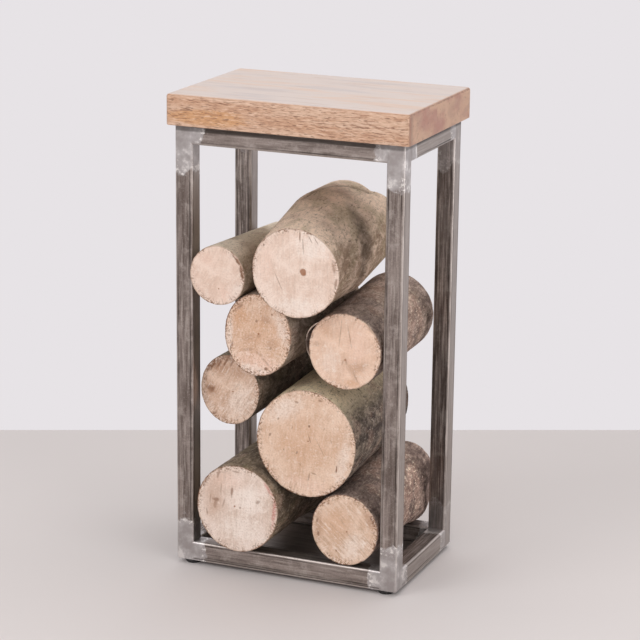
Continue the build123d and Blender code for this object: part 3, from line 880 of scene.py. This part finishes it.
def bark(log):
    """Bark: patches of two tones, fine specks and wrinkles, a tint of moss, dark cracks, painted shade in
    furrows and scars, painted light on its upper side, and painted light and shade that change along the log.
    """
    paint = Finish(f"bark_{log.node}")
    place = paint.attribute("log_place", "Vector")
    groove_shade = paint.attribute("groove_shade", "Fac")
    up = paint.parts(paint.facing())[2]
    broad = paint.speckle(paint.stretched(place, (1, 0.6, 1)), 20, 3, 0.55, 0.4)
    blush = paint.speckle(paint.stretched(place, (1, 0.8, 1)), 31, 3, 0.55)
    patch = paint.speckle(paint.stretched(place, (1, 0.55, 1)), 75, 6, 0.72, 0.4)
    wrinkle = paint.strands(place, (90, 420, 90), 4, 0.65)
    specks = paint.speckle(paint.stretched(place, (1, 0.45, 1)), 300, 5, 0.8)
    crack = paint.strands(place, (240, 80, 240), 4, 0.65, 0.5)
    shade = darker(log.bark_dark, BARK_SHADE)
    colour = paint.tint(log.bark_dark, log.bark_pale, patch, 0.4, 0.66)
    # Painted light: the upper side lighter, in its own top tone
    colour = paint.tint(colour, log.crown or log.bark_pale, up, 0.35, 0.95, log.dusty)
    colour = paint.tint(colour, MOSS, broad, 0.46, 0.62, log.moss)
    colour = paint.tint(colour, BARK_BLUSH, blush, 0.5, 0.64, 0.35)
    colour = paint.tint(colour, log.bark_dark, wrinkle, 0.5, 0.68, 0.4)
    # Painted shade in furrows and scars
    hollow_shade = paint.times(groove_shade, paint.step(patch, 0.3, 0.7, 1.0, 0.7))
    colour = paint.mix(hollow_shade, colour, HOLLOW_SHADE)
    colour = paint.tint(colour, shade, specks, 0.53, 0.64, 0.6)
    dusty = paint.times(paint.step(blush, 0.42, 0.6, 0.25, 0.85), paint.less(1.0, groove_shade))
    colour = paint.tint(colour, BARK_DUST, specks, 0.445, 0.39, dusty)
    colour = paint.tint(colour, BARK_CRACK, crack, 0.6, 0.68, log.rough)
    # Painted light and shade that change toward the rear of the log
    along_light = paint.step(paint.parts(place)[1], ALONG_LIGHT_START, ALONG_LIGHT_FULL, 1.0, 1.0 + log.faded)
    colour = paint.mix(1.0, colour, along_light, "MULTIPLY")
    relief = paint.plus(patch, paint.times(specks, 0.5))
    relief = paint.less(relief, paint.times(crack, 0.6))
    return paint.done(colour, 0.9, relief, 1.2, specular=0.2)


Stem = namedtuple("Stem", "surface low high front rear length")


def end_centre(node, y):
    """Middle of the flat end of a log's solid."""
    points = [vertex.co for vertex in node.data.vertices if abs(vertex.co.y - y) < END_INSET / 10]
    xs = [point.x for point in points]
    zs = [point.z for point in points]
    return Vector(((min(xs) + max(xs)) / 2, y, (min(zs) + max(zs)) / 2))


def stem(name):
    """A log's solid: its surface to cast rays at, its box, the middles of its ends, and its length."""
    node = nodes[name]
    solid = bmesh.new()
    solid.from_mesh(node.data)
    surface = BVHTree.FromBMesh(solid)
    solid.free()
    low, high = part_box(name)
    return Stem(surface, low, high, end_centre(node, low.y), end_centre(node, high.y), high.y - low.y)


def ripple(place, waves, shift=Vector()):
    """Smooth noise, about 0 to 1, with some waves per metre."""
    return noise.noise(place * waves + shift) * 0.5 + 0.5


def furrow(log, place):
    """Depth of the bark's furrows and scars below the outline, in millimetres, and how much painted shade
    lies in them.
    """
    stretched = Vector([part * waves for part, waves in zip(place, FURROW_WAVES)])
    ridge = abs(noise.noise(stretched))
    cut = max(0.0, FURROW_WIDTH - ridge) / FURROW_WIDTH
    depth = ripple(place, SWELL_WAVES) * SWELL_DEPTH + ripple(place, GRIT_WAVES) * GRIT_DEPTH
    depth += log.rough * cut * FURROW_DEPTH
    dark = log.rough * cut * FURROW_SHADE
    cuts = [0.0]
    for scar in log.scars:
        away = (place / MM - Vector((scar.x, scar.y, scar.z))).length / scar.reach
        share = max(0.0, 1 - away * away) ** 2
        if scar.depth < 0:
            depth += scar.depth * share
        else:
            cuts.append(scar.depth * share)
            dark = max(dark, share * min(1.0, scar.depth / SCAR_SHADE))
    return depth + max(cuts), min(1.0, dark)


def mark_depth(log, x, z):
    """Depth of a sawn face's cracks and marks at a point, in millimetres."""
    depth = 0.0
    for mark in log.marks:
        sine = math.sin(mark.turn)
        cosine = math.cos(mark.turn)
        across = (x - mark.x) * cosine - (z - mark.z) * sine
        along = (x - mark.x) * sine + (z - mark.z) * cosine
        spot = math.hypot(across / mark.across, along / mark.along)
        depth = max(depth, mark.depth * max(0.0, MARK_EDGE - spot))
    return depth


def log_blank():
    """Round bar, 1 long and 1 in radius, cut into rings along Z and over both ends."""
    made = bmesh.new()
    bmesh.ops.create_cone(made, cap_ends=True, segments=AROUND, radius1=1, radius2=1, depth=1)
    bmesh.ops.translate(made, verts=made.verts, vec=(0, 0, 0.5))
    staves = [edge for edge in made.edges if abs(edge.verts[0].co.z - edge.verts[1].co.z) > 0.5]
    bmesh.ops.subdivide_edges(made, edges=staves, cuts=ALONG)
    ends = [face for face in made.faces if len(face.verts) == AROUND]
    ring = (1 - sum(RIM_INSETS)) / (FACE_RINGS + 1)
    for face in ends:
        for inset in (*RIM_INSETS, *[ring] * FACE_RINGS):
            bmesh.ops.inset_region(made, faces=[face], thickness=inset, use_even_offset=True)
    bmesh.ops.poke(made, faces=ends)
    return made


def stave(vertex):
    """Number of the stave that a vertex of the blank is on."""
    return round(math.atan2(vertex.co.y, vertex.co.x) * AROUND / math.tau) % AROUND


def shape_side(made, side, log, solid):
    """Lays the blank's side on the log's outline, less the bark's relief. Gives the radii at both ends."""
    place_layer = made.verts.layers.float_vector["log_place"]
    groove_shade_layer = made.verts.layers.float["groove_shade"]
    radii = {}
    for vertex in side:
        share = vertex.co.z
        spoke = stave(vertex)
        heading = Vector((vertex.co.x, 0, vertex.co.y)).normalized()
        centre = solid.front.lerp(solid.rear, share)
        inside = Vector(centre)
        inside.y = min(max(centre.y, solid.low.y + END_INSET), solid.high.y - END_INSET)
        radius = solid.surface.ray_cast(inside, heading)[3]
        along = Vector((0, share * solid.length, 0))
        place = heading * radius + along
        depth, groove_shade = furrow(log, place)
        from_end = min(share, 1 - share) * solid.length / MM
        chip = max(0.0, 1 - from_end / CHIP_REACH) * ripple(place, CHIP_WAVES) * CHIP_DEPTH
        radius -= (depth + chip) * MM
        vertex.co = centre + heading * radius
        vertex[place_layer] = heading * radius + along
        vertex[groove_shade_layer] = groove_shade
        if min(share, 1 - share) < 1 - RIM_SHARE:
            radii[spoke, round(share)] = radius
    return radii


def shape_ends(made, ends, log, solid, radii):
    """Lays the blank's ends on the log's, with the saw's relief, and the marks in the front one."""
    place_layer = made.verts.layers.float_vector["log_place"]
    rim_layer = made.verts.layers.float["from_rim"]
    for vertex in ends:
        share = round(vertex.co.z)
        out = math.hypot(vertex.co.x, vertex.co.y)
        radius = radii[stave(vertex), share]
        place = Vector((vertex.co.x, 0, vertex.co.y)) * radius
        relief = ripple(place, SAW_WAVES, solid.front) * SAW_DEPTH
        if not share:
            relief += mark_depth(log, place.x / MM, place.z / MM)
        centre = solid.rear if share else solid.front
        vertex.co = centre + place + Vector((0, (1 - 2 * share) * relief * MM, 0))
        vertex[place_layer] = place + Vector((0, share * solid.length, 0))
        vertex[rim_layer] = radius * (1 - out) / MM


def settle(made, name, *materials):
    """Object of the scene from a finished bmesh."""
    mesh = bpy.data.meshes.new(name)
    made.to_mesh(mesh)
    made.free()
    for material in materials:
        mesh.materials.append(material)
    piece = bpy.data.objects.new(name, mesh)
    bpy.context.scene.collection.objects.link(piece)
    return piece


def log_piece(log):
    """Log with furrowed bark and sawn ends, on the outline of its solid."""
    solid = stem(log.node)
    made = log_blank()
    made.verts.layers.float_vector.new("log_place")
    made.verts.layers.float.new("from_rim")
    made.verts.layers.float.new("groove_shade")
    side = [vertex for vertex in made.verts if math.hypot(vertex.co.x, vertex.co.y) > RIM_SHARE]
    ends = [vertex for vertex in made.verts if math.hypot(vertex.co.x, vertex.co.y) <= RIM_SHARE]
    radii = shape_side(made, side, log, solid)
    shape_ends(made, ends, log, solid, radii)
    bmesh.ops.recalc_face_normals(made, faces=made.faces)
    front = solid.low.y + SAWN_DEPTH
    rear = solid.high.y - SAWN_DEPTH
    for polygon in made.faces:
        polygon.smooth = True
        sawn = all(vertex.co.y < front or vertex.co.y > rear for vertex in polygon.verts)
        polygon.material_index = 1 if sawn and abs(polygon.normal.y) > SAWN_FACING else 0
    for edge in made.edges:
        edge.smooth = len({polygon.material_index for polygon in edge.link_faces}) == 1
    piece = settle(made, f"sawn_{log.node}", bark(log), sawn_wood(log))
    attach(piece, log.node)
    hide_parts(log.node)


# Flap of loose bark at the left rim of the upper right log, between two angles round its front face
FLAP_LOG = "log_upper_right"
FLAP_ANGLES = (136, 192)
FLAP_LENGTH = 34 * MM
FLAP_LIFT = 6.2 * MM
FLAP_THICKNESS = 2.2 * MM
FLAP_STEPS = (36, 14)
FLAP_START = 1.2 * MM
FLAP_TEAR = 1.6 * MM
FLAP_TEAR_WAVES = 40
FLAP_ARCH = 0.8
FLAP_FALL = 1.3
FLAP_SUNK = 0.4
FLAP_EDGE_FACING = -0.6


def flap_edge():
    """Torn edge of the bark, pale and fibrous."""
    paint = Finish("bark_edge")
    place = paint.place()
    fibre = paint.strands(place, (700, 120, 700), 3, 0.6)
    colour = paint.tint(TORN_BROWN, TORN_PALE, fibre, 0.35, 0.65)
    return paint.done(colour, 0.85, fibre, 0.3, specular=0.2)


def bark_flap():
    """Scale of bark that stands off the log at the front and grows out of it behind."""
    solid = stem(FLAP_LOG)
    start, end = [math.radians(angle) for angle in FLAP_ANGLES]
    made = bmesh.new()
    bmesh.ops.create_grid(made, x_segments=FLAP_STEPS[0], y_segments=FLAP_STEPS[1], size=0.5)
    place_layer = made.verts.layers.float_vector.new("log_place")
    for vertex in made.verts:
        turn = vertex.co.x + 0.5
        back = vertex.co.y + 0.5
        angle = start + (end - start) * turn
        heading = Vector((math.cos(angle), 0, math.sin(angle)))
        torn = noise.noise(heading * FLAP_TEAR_WAVES) * FLAP_TEAR * (1 - back)
        along = END_INSET + FLAP_START + FLAP_LENGTH * back + torn
        centre = solid.front.lerp(solid.rear, along / solid.length)
        radius = solid.surface.ray_cast(centre, heading)[3]
        lift = FLAP_LIFT * math.sin(math.pi * turn) ** FLAP_ARCH * (1 - back) ** FLAP_FALL
        out = radius + lift - FLAP_THICKNESS * FLAP_SUNK
        vertex.co = centre + heading * out
        vertex[place_layer] = heading * out + Vector((0, along, 0))
    bmesh.ops.solidify(made, geom=made.faces, thickness=FLAP_THICKNESS)
    bmesh.ops.recalc_face_normals(made, faces=made.faces)
    for polygon in made.faces:
        polygon.smooth = True
        polygon.material_index = 1 if polygon.normal.y < FLAP_EDGE_FACING else 0
    piece = settle(made, "bark_flap", bpy.data.materials[f"bark_{FLAP_LOG}"], flap_edge())
    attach(piece, FLAP_LOG)


# Room: a pale floor that ends where the wall stands, and soft light
FLOOR_TONE = tone(213, 205, 203)
WALL_TONE = tone(231, 227, 230)
FLOOR_SPREAD = 6.0
AMBIENT = 0.42
Lamp = namedtuple("Lamp", "name place size power")
LAMPS = [
    Lamp("key", Vector((-1.7, -2.6, 2.3)), 2.0, 39),
    Lamp("front", Vector((0.6, -3.1, 1.3)), 1.8, 20),
    Lamp("fill", Vector((2.4, -1.2, 1.6)), 2.0, 20),
    Lamp("overhead", Vector((0.2, 0.6, 3.2)), 2.4, 42),
]
CARD = Lamp("card", Vector((2.4, 0.5, 0.7)), 1.8, 27)


def floor_finish():
    """Pale matt floor with faint clouds."""
    paint = Finish("pale_floor")
    cloud = paint.speckle(paint.place(), 1.5, 3)
    colour = paint.tint(FLOOR_TONE, WALL_TONE, cloud, 0.3, 0.7, 0.06)
    return paint.done(colour, 0.6)


def add_floor():
    """Floor whose back edge lies along one row of the picture."""
    left = floor_point(0, FLOOR_EDGE_ROW)
    right = floor_point(PICTURE, FLOOR_EDGE_ROW)
    edge = (right - left).normalized()
    middle = (left + right) / 2
    forward = Vector((edge.y, -edge.x, 0))
    made = bmesh.new()
    corners = []
    for out, side in ((0, -1), (2, -1), (2, 1), (0, 1)):
        corners.append(made.verts.new(middle + edge * side * FLOOR_SPREAD + forward * out * FLOOR_SPREAD))
    made.faces.new(corners)
    bmesh.ops.recalc_face_normals(made, faces=made.faces)
    if made.faces[:][0].normal.z < 0:
        bmesh.ops.reverse_faces(made, faces=made.faces)
    floor = settle(made, "floor", floor_finish())


def add_lamp(lamp):
    """Square lamp that faces the middle of the part."""
    data = bpy.data.lights.new(lamp.name, "AREA")
    data.size = lamp.size
    data.energy = lamp.power
    light = bpy.data.objects.new(lamp.name, data)
    light.location = lamp.place
    target = (cad_low + cad_high) / 2
    light.rotation_euler = (target - lamp.place).to_track_quat("-Z", "Y").to_euler()
    bpy.context.scene.collection.objects.link(light)
    return light


def add_lights():
    """The lamps, and a card that only reflections see."""
    for lamp in LAMPS:
        add_lamp(lamp)
    add_lamp(CARD).visible_diffuse = False


def add_world():
    """Even white light, with the wall's tone where the camera or a reflection sees it."""
    world = bpy.data.worlds.new("room")
    world.use_nodes = True
    paint = Shading(world.node_tree)
    seen = paint.node("ShaderNodeLightPath", {}, "Is Camera Ray")
    for ray in ("Is Glossy Ray", "Is Transmission Ray"):
        seen = paint.maths("MAXIMUM", seen, paint.node("ShaderNodeLightPath", {}, ray))
    light = paint.mix(seen, (AMBIENT, AMBIENT, AMBIENT, 1), WALL_TONE)
    paint.feed(world.node_tree.nodes["Background"].inputs["Color"], light)
    bpy.context.scene.world = world


# The rack
upright_steel = tube_steel("upright_steel", 2)
# Painted shade streaks: strong on the back uprights, a shaded copy of the upright steel, and some on the
# short rails
back_upright_steel = tube_steel("back_upright_steel", 2, painted_shade=0.5, ground_share=0.35)
# Painted light: a little on the long rails
long_rail_steel = tube_steel("long_rail_steel", 0, pale=0.1)
short_rail_steel = tube_steel("short_rail_steel", 1, painted_shade=0.35)
for name in nodes:
    if name.startswith("upright"):
        dress(back_upright_steel if "_back_" in name else upright_steel, name)
    if "_rail_" in name:
        dress(long_rail_steel if name.endswith(("front", "back")) else short_rail_steel, name)
# Painted light on the base sheet and tabs, which lie in shade under the logs
dress(tube_steel("sheet_steel", 0, pale=0.5), "base_sheet", "top_fixing_tabs")
dress(weld_steel(), "bottom_frame_welds", "top_frame_welds")
dress(plated_steel(), "foot_screws", "top_fixing_screws")
dress(foot_rubber(), *[name for name in nodes if name.startswith("foot_") and name != "foot_screws"])
dress(board_wood("front_board_wood", 0.0, 0.6), "top_board_front")
dress(board_wood("middle_board_wood", 0.37, 0.3), "top_board_middle")
dress(board_wood("back_board_wood", 0.71, 0.4), "top_board_back")
for log in LOGS:
    log_piece(log)
bark_flap()

add_floor()
add_lights()
add_world()
add_camera()
bpy.context.scene.view_settings.view_transform = "Standard"
